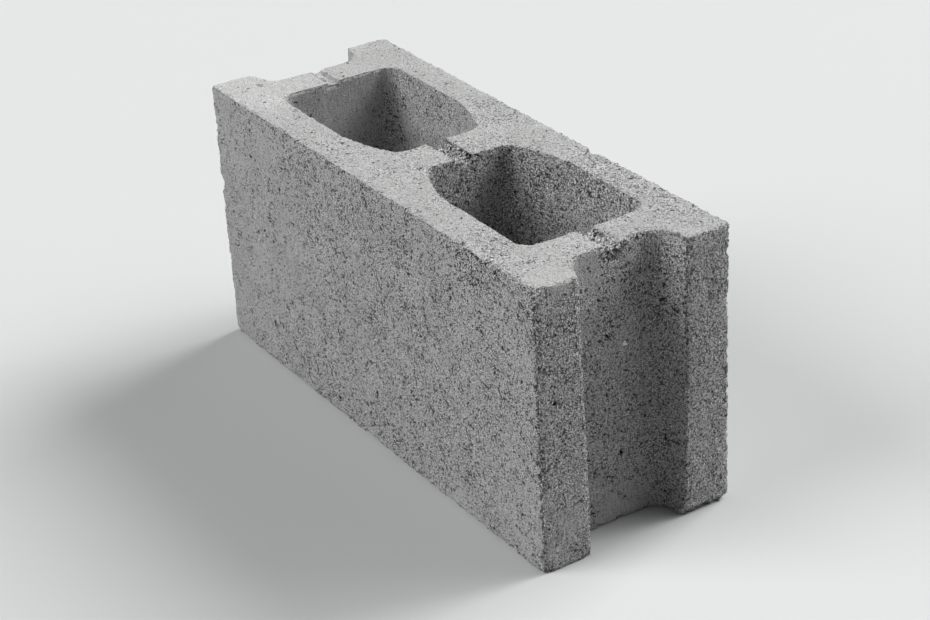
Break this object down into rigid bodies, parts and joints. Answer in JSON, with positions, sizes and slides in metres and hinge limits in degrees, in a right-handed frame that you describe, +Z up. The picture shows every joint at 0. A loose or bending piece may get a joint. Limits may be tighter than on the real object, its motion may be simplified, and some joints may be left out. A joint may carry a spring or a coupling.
{
  "type": "hollow concrete block",
  "caption": "Hollow concrete building block with cells open top and bottom, a recess between ears at each end and a slot across the webs.",
  "frame": {"origin": "centre of the lower bed face, on the floor that the block stands on", "axes": "+X along the block's length, +Y through its width, +Z up, out of the upper bed face that the slot crosses"},
  "size_m": [0.39, 0.14, 0.19],
  "materials": {
    "concrete": "matte"
  },
  "bodies": {
    "root": {"concrete_block": "concrete"}
  },
  "joints": []
}
